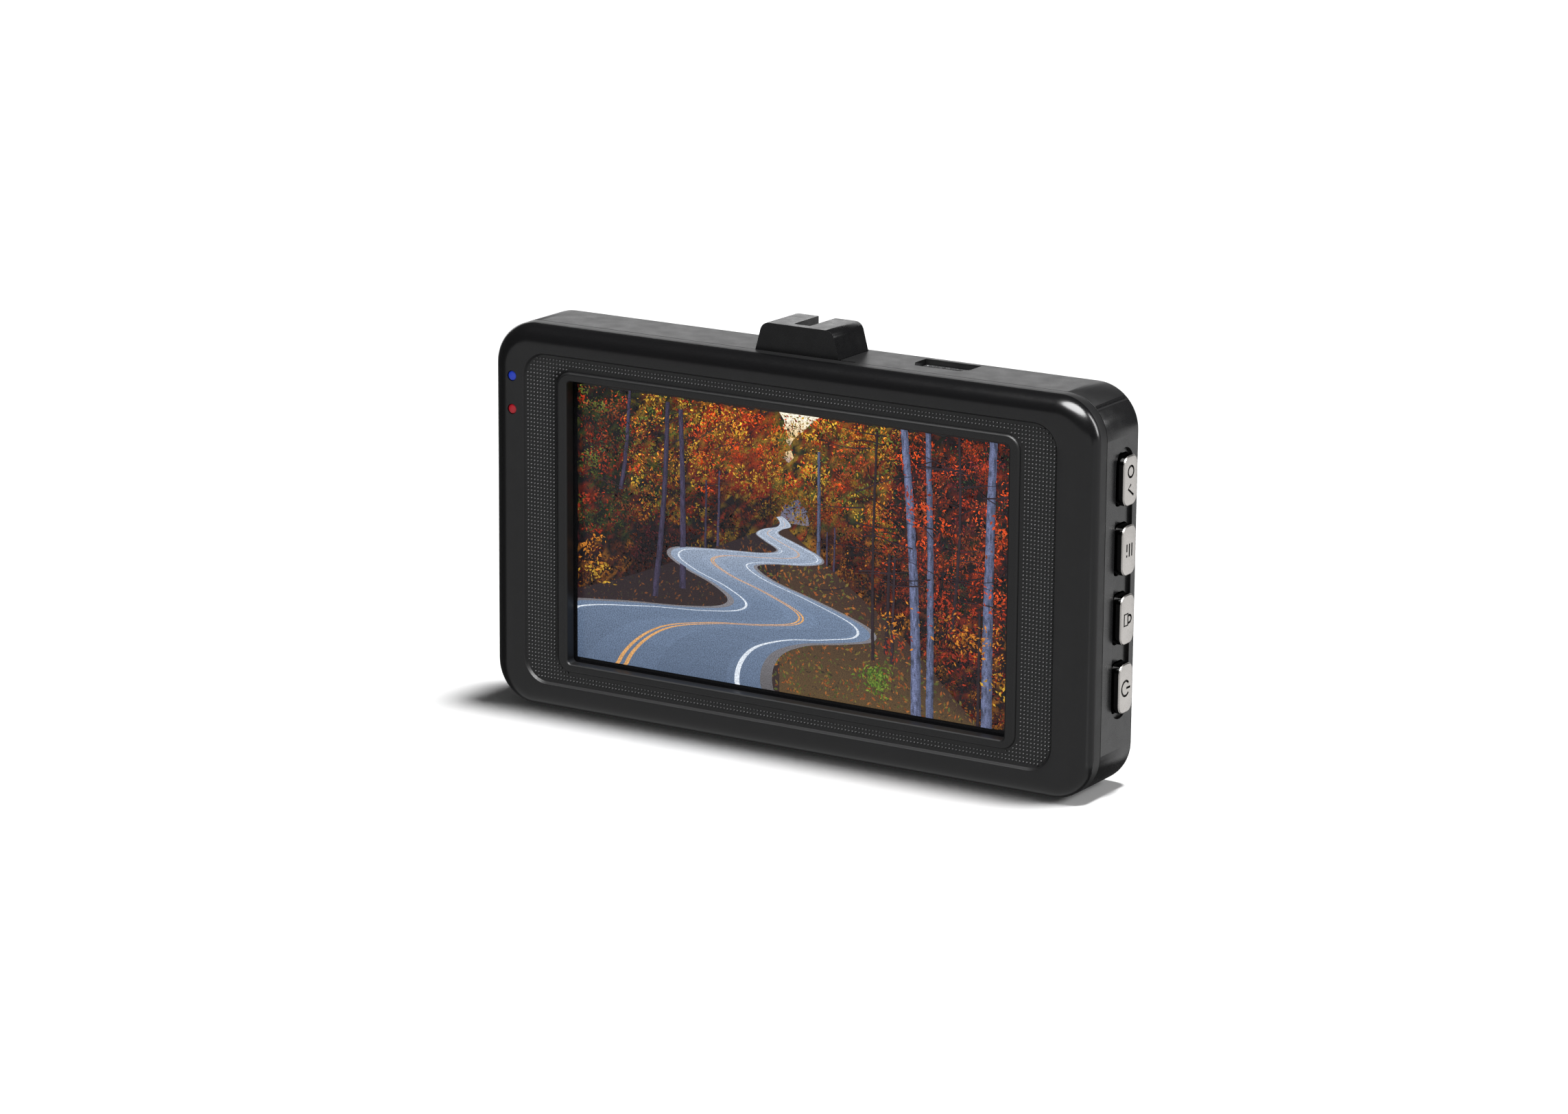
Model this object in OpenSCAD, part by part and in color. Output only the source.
// Dash camera: a windscreen video recorder with a three inch screen.
// Millimetres. +X is to the right as seen from the screen side, +Y runs from the screen towards
// the lens and +Z is up. The origin is on the housing's flat underside, at the middle of the
// housing's width and depth.
// Inside the modules, depth is measured from the screen face: in_frame() moves it to the origin.

/* [Housing] */
// Width of the housing without the buttons
body_w = 91.2; // [88:0.2:94]
// Height of the housing without the mount block
body_h = 52.4; // [51:0.2:55]
// Depth of the housing without the lens
body_d = 12.6; // [12.4:0.1:14]
// Corner radius in front view
corner_r = 5.8; // [5.4:0.1:6.6]
// Depth of the screen-side cover, up to the parting line
bezel_d = 3.6; // [3.4:0.1:3.8]
// Wall thickness
wall = 1.6; // [1.4:0.1:1.7]

/* [Screen] */
// Width of the window
window_w = 67; // [64:0.5:68]
// Height of the window
window_h = 38.6; // [36:0.2:39]
// Width of the dotted band's recess
band_w = 80.6; // [78:0.2:81]
// Height of the dotted band's recess
band_h = 45; // [43.5:0.5:46]
// Depth of the dotted band's recess
band_depth = 0.4; // [0.2:0.1:0.6]

/* [Buttons] */
// Length of a button cap, along the height of the housing
button_l = 6.5; // [6:0.1:7]
// Width of a button cap, along the depth of the housing
button_w = 3.6; // [3.4:0.1:4.2]
// Distance between button centres
button_pitch = 9.02; // [8.9:0.01:9.2]
// How far a cap stands out of the side wall
button_rise = 0.9; // [0.7:0.1:1.2]
// Height of the lowest button's centre
button_z = 13.9; // [13:0.1:14]

/* [Mount block] */
// Width of the block at its base
block_w = 12.6; // [12:0.1:13]
// Height of the block above the roof
block_h = 3.7; // [3.5:0.1:4.2]
// Width of the slot in the block's top
slot_w = 2.5; // [2:0.1:3]
// Width of the T channel under the slot
channel_w = 8.2; // [7.6:0.1:8.4]

/* [Lens] */
// Height of the optical axis
lens_z = 27; // [26.5:0.1:27.5]
// Radius of the lens housing at its base
housing_r = 16.5; // [16:0.1:17]
// Depth from the screen face to the front of the trim ring
lens_depth = 25.6; // [25.4:0.1:26]

/* [Hidden] */
$fn = 64;

cut = 1;               // how far a cutting shape runs past the face that it cuts
gap = 0.1;             // clearance between parts that slide into each other
mid_z = body_h / 2;    // middle height of the housing
side_x = body_w / 2;   // outer face of a side wall
inner_w = body_w - 2 * wall;
inner_h = body_h - 2 * wall;
inner_r = corner_r - wall;

// housing
face_round = 2.4;                  // edge round of the screen-side cover
back_round = 1.2;                  // edge round of the lens-side shell
back_in = body_d - wall;           // inner face of the lens-side wall
plate_t = 1.6;                     // thickness of the cover's face
lip_t = 0.8;                       // cover's locating lip
lip_h = 0.8;
band_r = 3.4;
land_w = 70.2;                     // raised frame round the window
land_h = 41;
land_r = 2.1;
window_r = 0.6;
pry_w = 2.6;                       // pry slot beside the mount block
pry_d = 0.35;
seam_t = 0.16;                     // mould seam across the upper corners

// screws
boss_x = 39.2;
boss_low_z = 5.4;
boss_high_z = body_h - 5.4;
boss_r = 2.2;
boss_split = 7.1;                  // depth where the two halves of a boss meet
case_hole_r = 1.15;
case_head_r = 1.9;
case_head_t = 1.3;
case_seat = 10.9;                  // depth of the face under a screw head
case_end = 3.4;
post_r = 1.6;                      // board posts on the cover
post_left = [-39.4, 35.6];
post_right = [38.2, 27.43];

// display stack, from the cover's face plate backwards
gasket_t = 0.35;
lcd_y = plate_t + gasket_t + 0.05; // front of the display module
lcd_w = 71.6;
lcd_h = 43.6;
lcd_d = 2.9;
tin_t = 0.2;                       // sheet of the display's metal frame
lcd_open_w = 68.4;
lcd_open_h = 40;
glass_t = 1.2;
flex_w = 18;
flex_t = 0.15;

// main board
board_y = 5.6;
board_t = 1;
board_back = board_y + board_t;
board_left = -43;
board_right = 42;
board_low = 3;
board_high = 49;

// status lights
light_x = -42.2;
blue_z = 45.2;
red_z = 40.7;
pipe_r = 0.65;
pipe_end = 4.9;

// buttons and their switches
button_y = 8.3;
button_r = 1.1;
button_clear = 0.15;
recess_d = 0.4;                    // racetrack recess that the buttons stand in
recess_w = 4.5;
flange_t = 0.9;
flange_over = 0.5;                 // how far a cap's flange is wider than the cap
flange_x = side_x - wall - gap / 2 - flange_t;
switch_x = 38.4;
switch_l = 3.5;
switch_h = 3;
switch_z = 6;
plunger_l = 1.4;
plunger_w = 2.2;
plunger_t = 1.4;

// mount block
block_y0 = bezel_d;
block_y1 = 11;
block_lean = 1;                    // how far each flank leans in over the block's height
block_r = 1.3;
lip_roof = 1.2;                    // thickness of the lips beside the slot
channel_h = 2.2;
end_wall = 1.2;
foot_w = 15;
foot_t = 0.8;

// inlet and card
usb_x = 19.2;
usb_w = 7.7;
usb_d = 3.8;
usb_narrow = 6.1;
usb_l = 9.2;
usb_y = board_back + 0.15;
usb_top = body_h - 0.7;
usb_sheet = 0.35;
card_z = 22;
card_l = 15;
card_w = 11;
card_t = 0.7;
card_y = board_back + 0.4;
card_x = -45;
card_socket_x = -42.4;
card_socket_l = 14.6;
card_socket_w = 14;
card_socket_t = 1.4;

// sound and power
speaker_x = -22.5;
speaker_z = 38.5;
speaker_r = 7.5;
speaker_t = 3;
felt_t = 0.25;
mic_x = 27;
mic_z = 10;
mic_r = 2;
battery_low = [12.6, 19];
battery_size = [24, 22];
battery_y = 6.9;
battery_t = 3.2;

// lens, as depths from the screen face
spigot_r = 12;
housing_end = lens_depth - 1.4;
housing_top_r = housing_r - 1.3;
cover_y = housing_end - 1.3;
cover_t = 1;
cover_r = 11.4;
thread_r = 6;
thread_fit = 0.05;
barrel_y0 = 9;
barrel_y1 = 20.6;
barrel_head_y = 15.6;
barrel_head_r = 7.2;
holder_w = 16;
holder_end = 15;

module in_frame() {
    translate([0, -body_d / 2, 0]) children();
}

// ---- shapes ----

// Extrudes an outline drawn in X and Z between two depths.
module slab(y0, y1) {
    translate([0, y1, 0]) rotate([90, 0, 0]) linear_extrude(y1 - y0) children();
}

// Round bar along the depth.
module rod(x, z, y0, y1, r) {
    translate([x, y1, z]) rotate([90, 0, 0]) cylinder(h = y1 - y0, r = r);
}

// Box given by its low corner and its size.
module block(low, size) {
    translate(low) cube(size);
}

module round_rect(w, h, r) {
    square([w - 2 * r, h], center = true);
    square([w, h - 2 * r], center = true);
    for (sx = [-1, 1], sz = [-1, 1])
        translate([sx * (w / 2 - r), sz * (h / 2 - r)]) circle(r);
}

// Rounded rectangle at the housing's middle height.
module centred(w, h, r) {
    translate([0, mid_z]) round_rect(w, h, r);
}

// Cross-section of a slab's rim: outward reach by depth, with its outer face edge rounded.
module rim(reach, depth, edge) {
    difference() {
        square([reach, depth]);
        translate([reach - edge, 0]) difference() {
            translate([0, -cut]) square([edge + cut, edge + cut]);
            translate([0, edge]) circle(edge);
        }
    }
}

// Rounded slab lying on its face, with that face's outer edge rounded.
module soft_slab(w, h, depth, corner, edge) {
    flat_w = w - 2 * corner;
    flat_h = h - 2 * corner;
    translate([-flat_w / 2, -flat_h / 2, 0]) cube([flat_w, flat_h, depth]);
    for (side = [0, 180]) rotate([0, 0, side]) {
        translate([flat_w / 2, flat_h / 2, 0])
            rotate([90, 0, 0]) linear_extrude(flat_h) rim(corner, depth, edge);
        translate([-flat_w / 2, flat_h / 2, 0])
            rotate([90, 0, 90]) linear_extrude(flat_w) rim(corner, depth, edge);
        translate([flat_w / 2, flat_h / 2, 0])
            rotate_extrude(angle = 90) rim(corner, depth, edge);
        translate([-flat_w / 2, flat_h / 2, 0])
            rotate([0, 0, 90]) rotate_extrude(angle = 90) rim(corner, depth, edge);
    }
}

// Turns a profile of radius and depth round the optical axis.
module lens_turn() {
    translate([0, 0, lens_z]) rotate([-90, 0, 0]) rotate_extrude() children();
}

// Thin round wire through a list of points.
module wire(points, r) {
    for (i = [0 : len(points) - 2]) {
        run = points[i + 1] - points[i];
        translate(points[i])
            rotate([0, acos(run[2] / norm(run)), atan2(run[1], run[0])])
                cylinder(h = norm(run), r = r, $fn = 24);
        if (i > 0) translate(points[i]) sphere(r, $fn = 24);
    }
}

// Places its children at each case screw.
module at_bosses() {
    for (sx = [-1, 1], z = [boss_low_z, boss_high_z])
        translate([sx * boss_x, 0, z]) children();
}

function button_height(i) = button_z + i * button_pitch;

// Outline across a button: width along the depth, length along the height.
module button_outline(grow) {
    round_rect(button_w + 2 * grow, button_l + 2 * grow, button_r + grow);
}

// Extrudes an outline drawn in depth and height between two X positions, at one button.
module at_button(i, x0, x1) {
    translate([x0, button_y, button_height(i)])
        rotate([90, 0, 90]) linear_extrude(x1 - x0) children();
}

// ---- housing ----

module light_holes() {
    for (z = [blue_z, red_z]) rod(light_x, z, -cut, bezel_d + lip_h + cut, pipe_r + 0.05);
}

module rear_bezel() {
    color([0.06, 0.06, 0.065]) in_frame() difference() {
        union() {
            difference() {
                translate([0, 0, mid_z]) rotate([-90, 0, 0])
                    soft_slab(body_w, body_h, bezel_d, corner_r, face_round);
                slab(plate_t, bezel_d + cut)
                    centred(inner_w - 2 * lip_t - 2 * gap, inner_h - 2 * lip_t - 2 * gap,
                            inner_r - lip_t - gap);
                slab(-cut, band_depth) difference() {
                    centred(band_w, band_h, band_r);
                    centred(land_w, land_h, land_r);
                }
            }
            slab(bezel_d - 0.2, bezel_d + lip_h) difference() {
                centred(inner_w - 2 * gap, inner_h - 2 * gap, inner_r - gap);
                centred(inner_w - 2 * lip_t - 2 * gap, inner_h - 2 * lip_t - 2 * gap,
                        inner_r - lip_t - gap);
            }
            at_bosses() rod(0, 0, plate_t - 0.2, boss_split - gap, boss_r);
            for (p = [post_left, post_right]) rod(p[0], p[1], plate_t - 0.2, board_y - 0.02, post_r);
        }
        slab(-cut, plate_t + cut) centred(window_w, window_h, window_r);
        at_bosses() rod(0, 0, case_end - 0.4, boss_split + cut, 1.05);
        for (p = [post_left, post_right]) rod(p[0], p[1], plate_t + 0.4, board_y + cut, 0.85);
        light_holes();
        // notch in the lip for the mount block's end
        block([-block_w / 2 - gap, bezel_d, board_high], [block_w + 2 * gap, lip_h + cut, 5]);
    }
}

module roof_notch() {
    // the mount block slides in here from the parting plane
    block([-block_w / 2 - gap, bezel_d - cut, body_h - wall - cut],
          [block_w + 2 * gap, block_y1 + 0.05 - bezel_d + cut, wall + 2 * cut]);
    block([block_w / 2 - 0.2, bezel_d - cut, body_h - 0.5], [pry_w, cut + pry_d, 1]);
}

// Outline of the inlet's shell, from its narrow side by the board to its wide side.
module usb_outline(grow) {
    half = usb_w / 2 + grow;
    narrow = usb_narrow / 2 + grow;
    polygon([
        [-narrow, -grow], [narrow, -grow], [half, 1.4 - grow / 2], [half, usb_d + grow],
        [-half, usb_d + grow], [-half, 1.4 - grow / 2]
    ]);
}

module usb_prism(z0, z1, grow) {
    translate([usb_x, usb_y, z0]) linear_extrude(z1 - z0) usb_outline(grow);
}

module button_recess() {
    run = 3 * button_pitch + button_l + 1.8 - recess_w;
    translate([side_x - recess_d, button_y, button_z + 1.5 * button_pitch])
        rotate([90, 0, 90]) linear_extrude(recess_d + cut)
            for (s = [-1, 1]) {
                translate([0, s * run / 2]) circle(d = recess_w);
                square([recess_w, run], center = true);
            }
}

module grille_holes() {
    rod(speaker_x, speaker_z, back_in - cut, body_d + cut, 0.6);
    for (ring = [1 : 2], i = [0 : 6 * ring - 1]) {
        a = i * 60 / ring;
        rod(speaker_x + 2.3 * ring * cos(a), speaker_z + 2.3 * ring * sin(a),
            back_in - cut, body_d + cut, 0.6);
    }
}

module mould_seams() {
    reach = corner_r * 1.6;
    for (sx = [-1, 1])
        translate([sx * (side_x - corner_r), bezel_d + 0.1, body_h - corner_r])
            rotate([0, sx * 45, 0])
                translate([-seam_t / 2, 0, corner_r - 0.08])
                    cube([seam_t, body_d - back_round - bezel_d - 0.1, reach]);
}

module front_shell() {
    color([0.16, 0.16, 0.165]) in_frame() difference() {
        union() {
            difference() {
                translate([0, body_d, mid_z]) rotate([90, 0, 0])
                    soft_slab(body_w, body_h, body_d - bezel_d, corner_r, back_round);
                translate([0, back_in, mid_z]) rotate([90, 0, 0])
                    soft_slab(inner_w, inner_h, back_in - bezel_d + cut, inner_r, 0.6);
            }
            at_bosses() rod(0, 0, boss_split, back_in + 0.2, boss_r);
            slab(back_in - 1.6, back_in + 0.2) translate([speaker_x, speaker_z]) difference() {
                circle(speaker_r + 0.9);
                circle(speaker_r + gap);
            }
            slab(back_in - 1.6, back_in + 0.2) translate([mic_x, mic_z]) difference() {
                circle(mic_r + 0.8);
                circle(mic_r + gap);
            }
        }
        at_bosses() {
            rod(0, 0, boss_split - cut, body_d, case_hole_r);
            rod(0, 0, case_seat, body_d + cut, case_head_r + 0.2);
        }
        roof_notch();
        usb_prism(body_h - wall - cut, body_h + cut, 0.25);
        button_recess();
        for (i = [0 : 3]) at_button(i, side_x - wall - cut, side_x + cut)
            button_outline(button_clear);
        block([-side_x - cut, card_y - 0.3, card_z - card_w / 2 - 0.3],
              [wall + 2 * cut, card_t + 0.6, card_w + 0.6]);
        translate([-side_x, card_y + card_t / 2, card_z]) sphere(1.7);
        grille_holes();
        rod(mic_x, mic_z, back_in - cut, body_d + cut, 0.5);
        rod(0, lens_z, back_in - cut, body_d + cut, spigot_r + gap);
        mould_seams();
    }
}

module mount_outline() {
    half = block_w / 2;
    lean = atan(block_lean / block_h);
    centre_x = (half * cos(lean) - block_r - (block_h - block_r) * sin(lean)) / cos(lean);
    centre_z = block_h - block_r;
    flank = [centre_x + block_r * cos(lean), centre_z + block_r * sin(lean)];
    polygon([
        [-half, 0], [half, 0], flank, [centre_x, centre_z + block_r],
        [-centre_x, centre_z + block_r], [-flank[0], flank[1]]
    ]);
    for (s = [-1, 1]) translate([s * centre_x, centre_z]) circle(block_r);
}

module mount_socket() {
    roof_in = body_h - wall;
    color([0.08, 0.08, 0.085]) in_frame() difference() {
        union() {
            slab(block_y0, block_y1) {
                translate([0, body_h]) mount_outline();
                translate([-block_w / 2, roof_in - 0.05]) square([block_w, wall + 0.1]);
            }
            block([-foot_w / 2, bezel_d + lip_h + 0.2, roof_in - foot_t - 0.05],
                  [foot_w, block_y1 - 0.4 - bezel_d - lip_h - 0.2, foot_t]);
        }
        block([-channel_w / 2, block_y0 + end_wall, body_h + block_h - lip_roof - channel_h],
              [channel_w, block_y1, channel_h]);
        block([-slot_w / 2, block_y0 + end_wall, body_h + block_h - lip_roof - 0.2],
              [slot_w, block_y1, lip_roof + 1]);
    }
}

// ---- display ----

module screen_gasket() {
    color([0.1, 0.1, 0.1]) in_frame() slab(plate_t, plate_t + gasket_t) difference() {
        centred(lcd_w - 0.4, lcd_h - 0.4, 0.5);
        centred(lcd_open_w, lcd_open_h, 0.5);
    }
}

module lcd_frame() {
    inner = [lcd_w - 2 * tin_t, lcd_h - 2 * tin_t];
    color([0.75, 0.75, 0.77]) in_frame() difference() {
        slab(lcd_y, lcd_y + lcd_d) centred(lcd_w, lcd_h, 0.5);
        slab(lcd_y + tin_t, lcd_y + lcd_d + cut) centred(inner[0], inner[1], 0.3);
        slab(lcd_y - cut, lcd_y + tin_t + cut) centred(lcd_open_w, lcd_open_h, 0.5);
        // gap in the lower wall where the flex leaves
        block([-flex_w / 2 - 0.5, lcd_y + tin_t + 0.6, mid_z - lcd_h / 2 - cut],
              [flex_w + 1, lcd_d, cut + 2 * tin_t]);
    }
}

module lcd_panel() {
    color([0.12, 0.14, 0.18]) in_frame()
        slab(lcd_y + tin_t + 0.02, lcd_y + tin_t + 0.02 + glass_t)
            centred(lcd_w - 2 * tin_t - 0.4, lcd_h - 2 * tin_t - 0.4, 0.3);
}

module lcd_backlight() {
    y0 = lcd_y + tin_t + glass_t + 0.25;
    color([0.95, 0.95, 0.93]) in_frame()
        translate([0, 0, 0.4]) slab(y0, lcd_y + lcd_d - 0.05)
            centred(lcd_w - 2 * tin_t - 0.4, lcd_h - 2 * tin_t - 1.4, 0.3);
}

module lcd_flex() {
    y0 = lcd_y + tin_t + glass_t + 0.04;   // bonded to the back of the glass
    y1 = board_back + 0.75;
    z0 = mid_z - lcd_h / 2 - 0.35;
    bend = 0.8;
    top_z = 10.4;
    color([0.8, 0.5, 0.15]) in_frame()
        translate([-flex_w / 2, 0, 0]) rotate([90, 0, 90]) linear_extrude(flex_w) {
            translate([y0, z0]) square([flex_t, 1.9]);
            translate([y0, z0]) square([y1 - bend - y0, flex_t]);
            translate([y1 - bend, z0 + bend]) intersection() {
                difference() {
                    circle(bend);
                    circle(bend - flex_t);
                }
                translate([0, -bend]) square(bend);
            }
            translate([y1 - flex_t, z0 + bend]) square([flex_t, top_z - z0 - bend]);
        }
}

// ---- electronics ----

module main_board() {
    color([0.05, 0.25, 0.12]) in_frame() slab(board_y, board_back) difference() {
        translate([board_left, board_low])
            square([board_right - board_left, board_high - board_low]);
        for (sx = [-1, 1], z = [boss_low_z, boss_high_z])
            translate([sx * boss_x, z]) circle(boss_r + 0.25);
        for (sx = [-1, 1], z = [board_low - cut, board_high - 2.2])
            translate([sx > 0 ? boss_x - boss_r - 0.2 : board_left - cut, z])
                square([5, 3.2]);
        translate([-flex_w / 2 - 1, board_low - cut]) square([flex_w + 2, cut + 3.4]);
        for (p = [post_left, post_right]) translate(p) circle(0.9);
    }
}

module processor() {
    color([0.1, 0.1, 0.11]) in_frame() block([-24, board_back, 5.4], [11, 1.1, 11]);
}

module memory_chip() {
    color([0.1, 0.1, 0.11]) in_frame() block([11.8, board_back, 6.4], [8, 0.9, 6]);
}

module board_components() {
    // low corner and size of each chip, coil and capacitor, across the board and up it
    parts = [
        [[-10.5, 10.6], [21, 2.6], 1.1],    // flex connector
        [[-11.4, 39.8], [4, 4], 2],         // coil
        [[-5.6, 40], [4, 4], 2],            // coil
        [[0.6, 41], [3, 3], 1],             // regulator
        [[5.4, 39.4], [6, 5], 1.5],         // charger and audio chip
        [[-37.6, 31.2], [3, 3], 0.95],      // motion sensor
        [[20.6, 11.6], [3.2, 1.6], 1.2],    // capacitor
        [[20.6, 14.2], [3.2, 1.6], 1.2],    // capacitor
        [[-35.6, 8.4], [5, 3.2], 1.1]       // crystal
    ];
    color([0.22, 0.2, 0.18]) in_frame() for (p = parts)
        block([p[0][0], board_back, p[0][1]], [p[1][0], p[2], p[1][1]]);
}

module status_leds() {
    color([0.9, 0.9, 0.7]) in_frame() for (z = [blue_z, red_z])
        block([light_x - 0.7, board_y - 0.6, z - 0.4], [1.4, 0.6, 0.8]);
}

module light_pipe(z) {
    in_frame() rod(light_x, z, 0.02, pipe_end, pipe_r);
}

module blue_light_pipe() {
    color([0.1, 0.25, 0.75]) light_pipe(blue_z);
}

module red_light_pipe() {
    color([0.75, 0.05, 0.12]) light_pipe(red_z);
}

module switch_bodies() {
    face_x = switch_x + switch_l;
    color([0.08, 0.08, 0.08]) in_frame() for (i = [0 : 3]) difference() {
        block([switch_x, board_back, button_height(i) - switch_z / 2],
              [switch_l, switch_h, switch_z]);
        at_button(i, face_x - 1.4, face_x + cut)
            translate([board_back + switch_h / 2 - button_y, 0])
                square([plunger_t + 0.2, plunger_w + 0.2], center = true);
    }
}

module switch_plunger(i) {
    color([0.75, 0.72, 0.65]) in_frame()
        at_button(i, flange_x - plunger_l, flange_x)
            translate([board_back + switch_h / 2 - button_y, 0])
                square([plunger_t, plunger_w], center = true);
}

module ok_switch_plunger() {
    switch_plunger(3);
}

module mode_switch_plunger() {
    switch_plunger(2);
}

module lock_switch_plunger() {
    switch_plunger(1);
}

module power_switch_plunger() {
    switch_plunger(0);
}

module button(i) {
    color([0.68, 0.67, 0.65]) in_frame() {
        at_button(i, flange_x, flange_x + flange_t)
            round_rect(button_w + 2 * flange_over, button_l + 2 * flange_over, button_r);
        at_button(i, flange_x + flange_t - 0.1, side_x + button_rise) button_outline(0);
    }
}

module ok_button() {
    button(3);
}

module mode_button() {
    button(2);
}

module lock_button() {
    button(1);
}

module power_button() {
    button(0);
}

module usb_socket() {
    color([0.78, 0.78, 0.8]) in_frame() difference() {
        usb_prism(usb_top - usb_l, usb_top, 0);
        usb_prism(usb_top - usb_l - cut, usb_top + cut, -usb_sheet);
    }
}

module usb_tongue() {
    color([0.1, 0.1, 0.1]) in_frame() {
        usb_prism(usb_top - usb_l + 0.1, usb_top - usb_l + 2.4, -usb_sheet - 0.05);
        block([usb_x - 2.1, usb_y + 1.9, usb_top - usb_l + 2.3], [4.2, 0.8, 5.4]);
    }
}

module usb_contacts() {
    color([0.85, 0.68, 0.25]) in_frame() for (i = [-2 : 2])
        block([usb_x + i * 0.8 - 0.15, usb_y + 1.7, usb_top - usb_l + 2.5], [0.3, 0.18, 4.8]);
}

module card_socket() {
    color([0.76, 0.76, 0.78]) in_frame() difference() {
        block([card_socket_x, board_back + 0.02, card_z - card_socket_w / 2],
              [card_socket_l, card_socket_t, card_socket_w]);
        block([card_socket_x - cut, card_y - 0.1, card_z - card_w / 2 - 0.1],
              [cut + card_l - 2.4, card_t + 0.2, card_w + 0.2]);
    }
}

module memory_card() {
    half = card_w / 2;
    color([0.07, 0.07, 0.08]) in_frame() slab(card_y, card_y + card_t)
        translate([card_x, card_z]) difference() {
            polygon([
                [0, -half], [8.6, -half], [9.4, -half + 0.8], [10.6, -half + 0.8],
                [10.6, -half + 0.3], [card_l, -half + 0.3], [card_l, half], [0, half]
            ]);
            for (s = [-1, 1]) translate([0, s * half]) circle(0.5);
        }
}

module battery() {
    color([0.72, 0.73, 0.75]) in_frame() {
        slab(battery_y, battery_y + battery_t)
            translate(battery_low + battery_size / 2)
                round_rect(battery_size[0], battery_size[1] - 3, 0.8);
        // sealed seam of the pouch, with the protection board under it
        block([battery_low[0] + 1.5, battery_y + 0.8, battery_low[1]],
              [battery_size[0] - 3, 1, battery_size[1] - 1.5]);
    }
}

module battery_tape() {
    y0 = battery_y + battery_t;
    color([0.85, 0.85, 0.8]) in_frame() slab(y0, back_in)
        translate(battery_low + battery_size / 2) round_rect(16, 12, 1);
}

module lead_pair(points, step, r) {
    for (i = [0, 1]) wire([for (p = points) p + i * step], r);
}

module battery_leads() {
    color([0.7, 0.08, 0.08]) in_frame() lead_pair([
        [15, battery_y + 1.3, battery_low[1] - 0.2], [16, battery_y + 0.9, 17],
        [18, board_back + 0.4, 14.5]
    ], [1.4, 0, 0], 0.35);
}

module clock_cell() {
    color([0.75, 0.75, 0.78]) in_frame() rod(30, 13, board_back, board_back + 1.4, 2.4);
}

module speaker() {
    y1 = back_in - felt_t;
    color([0.3, 0.3, 0.32]) in_frame() {
        rod(speaker_x, speaker_z, y1 - 1.4, y1, speaker_r);
        rod(speaker_x, speaker_z, y1 - speaker_t, y1 - 1.3, 5);
    }
}

module speaker_felt() {
    color([0.12, 0.12, 0.12]) in_frame()
        rod(speaker_x, speaker_z, back_in - felt_t, back_in, speaker_r - 0.6);
}

module speaker_leads() {
    y0 = back_in - felt_t - 2;
    color([0.08, 0.08, 0.08]) in_frame() lead_pair([
        [speaker_x + 5.02, y0, speaker_z - 1], [speaker_x + 9, y0, speaker_z - 1],
        [speaker_x + 9, board_back + 0.4, speaker_z - 1]
    ], [0, 0, 1.4], 0.35);
}

module microphone() {
    color([0.7, 0.7, 0.72]) in_frame() rod(mic_x, mic_z, back_in - 1.5, back_in, mic_r);
}

// ---- lens ----

module lens_housing() {
    color([0.05, 0.05, 0.055]) in_frame() lens_turn() difference() {
        union() {
            translate([0, back_in + 0.2]) square([spigot_r, wall]);
            polygon([
                [0, body_d], [housing_r, body_d], [housing_r, body_d + 1.2],
                [housing_top_r, housing_end - 1], [housing_top_r - 1, housing_end],
                [0, housing_end]
            ]);
        }
        // light path, stepped like a baffle towards the cover glass
        polygon([
            [0, back_in], [8.4, back_in], [8.4, 17.2], [9, 17.2], [9, 18.8], [9.6, 18.8],
            [9.6, 20.4], [10.2, 20.4], [10.2, cover_y], [cover_r + 0.05, cover_y],
            [cover_r + 0.05, housing_end + cut], [0, housing_end + cut]
        ]);
    }
}

module lens_trim_ring() {
    inner_radius = cover_r - 1;
    color([0.55, 0.55, 0.57]) in_frame() lens_turn() polygon([
        [inner_radius, housing_end], [housing_top_r - 1.1, housing_end],
        [housing_top_r - 1.1, lens_depth - 0.5], [housing_top_r - 1.6, lens_depth],
        [inner_radius + 1.4, lens_depth], [inner_radius, housing_end + 0.5]
    ]);
}

module lens_cover_glass() {
    color([0.7, 0.75, 0.8, 0.4]) in_frame() rod(0, lens_z, cover_y, cover_y + cover_t, cover_r);
}

module lens_barrel() {
    color([0.1, 0.1, 0.11]) in_frame() lens_turn() polygon([
        [4.3, barrel_y0], [thread_r, barrel_y0], [thread_r, barrel_head_y],
        [barrel_head_r, barrel_head_y], [barrel_head_r, barrel_y1 - 0.4],
        [barrel_head_r - 0.4, barrel_y1], [6.1, barrel_y1], [5.5, barrel_y1 - 1.2],
        [5.5, 17.3], [4.8, 17.3], [4.8, 16.4], [3.4, 16.4], [3.4, 12.4], [4.3, 12.4]
    ]);
}

module front_lens_element() {
    radius = 5.45;
    bulge = 9;
    color([0.3, 0.35, 0.5, 0.6]) in_frame() intersection() {
        rod(0, lens_z, 17.3, 21, radius);
        translate([0, 20.9 - bulge, lens_z]) sphere(bulge, $fn = 128);
    }
}

module rear_lens_element() {
    color([0.3, 0.4, 0.45, 0.6]) in_frame() rod(0, lens_z, 9.8, 12.4, 4.25);
}

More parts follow.
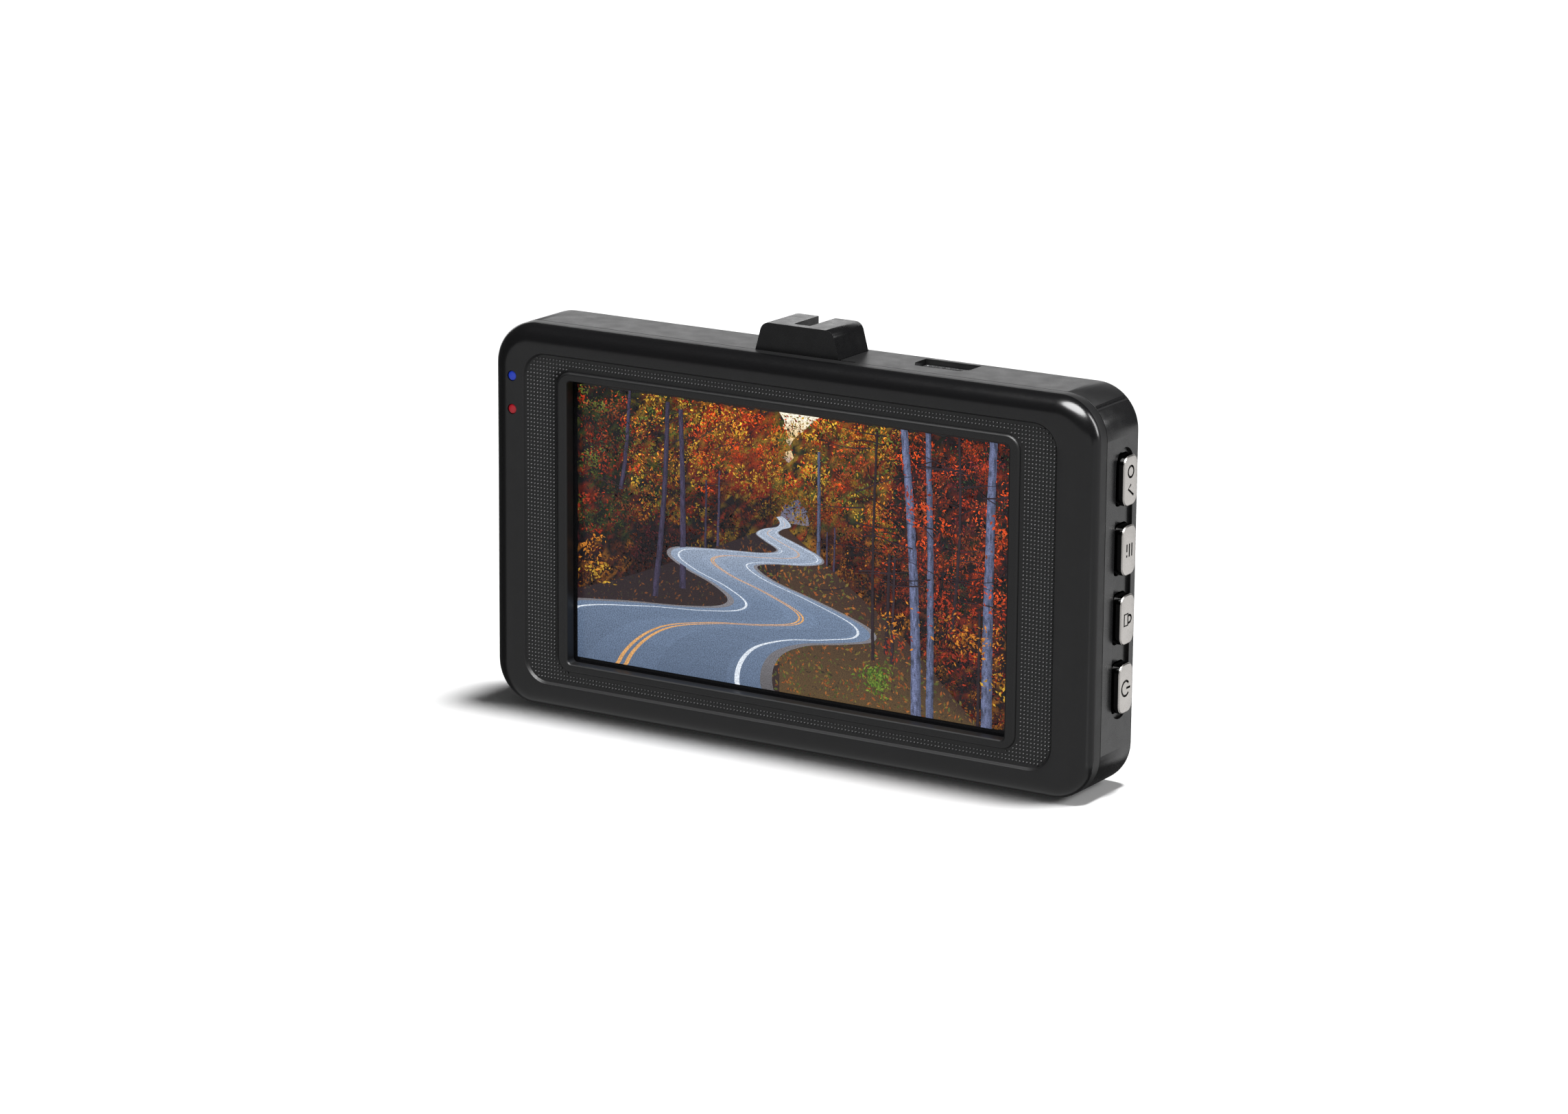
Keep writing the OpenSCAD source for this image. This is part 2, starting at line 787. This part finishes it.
module lens_holder() {
    half = holder_w / 2;
    color([0.07, 0.07, 0.07]) in_frame() difference() {
        union() {
            block([-half, board_back, lens_z - half], [holder_w, 2.3, holder_w]);
            rod(0, lens_z, board_back + 1, holder_end, thread_r + 1.6);
        }
        block([-5.25, board_back - cut, lens_z - 5.25], [10.5, cut + 1.5, 10.5]);
        rod(0, lens_z, board_back + 1, board_back + 2.2, 4.2);
        rod(0, lens_z, board_back + 2, holder_end + cut, thread_r + thread_fit);
    }
}

module image_sensor() {
    color([0.15, 0.2, 0.3]) in_frame() block([-4.5, board_back, lens_z - 4.5], [9, 1.2, 9]);
}

// ---- screws ----

module cross_recess(r, y, depth) {
    for (a = [0, 90]) translate([0, y, 0]) rotate([0, a, 0])
        block([-r, -depth, -r / 4], [2 * r, depth + cut, r / 2]);
}

module case_screws() {
    top = case_seat + case_head_t;
    color([0.12, 0.12, 0.13]) in_frame() at_bosses() difference() {
        union() {
            rod(0, 0, case_seat, top, case_head_r);
            rod(0, 0, case_end, case_seat + 0.1, 1);
        }
        cross_recess(1.1, top, 0.8);
    }
}

module board_screws() {
    color([0.6, 0.6, 0.62]) in_frame() for (p = [post_left, post_right])
        translate([p[0], 0, p[1]]) difference() {
            union() {
                rod(0, 0, board_back, board_back + 0.9, 1.3);
                rod(0, 0, plate_t + 0.8, board_back + 0.1, 0.8);
            }
            cross_recess(0.8, board_back + 0.9, 0.5);
        }
}

rear_bezel();
front_shell();
mount_socket();
screen_gasket();
lcd_frame();
lcd_panel();
lcd_backlight();
lcd_flex();
main_board();
processor();
memory_chip();
board_components();
status_leds();
blue_light_pipe();
red_light_pipe();
switch_bodies();
ok_button();
mode_button();
lock_button();
power_button();
ok_switch_plunger();
mode_switch_plunger();
lock_switch_plunger();
power_switch_plunger();
usb_socket();
usb_tongue();
usb_contacts();
card_socket();
memory_card();
battery();
battery_tape();
battery_leads();
clock_cell();
speaker();
speaker_felt();
speaker_leads();
microphone();
lens_housing();
lens_trim_ring();
lens_cover_glass();
lens_barrel();
front_lens_element();
rear_lens_element();
lens_holder();
image_sensor();
case_screws();
board_screws();
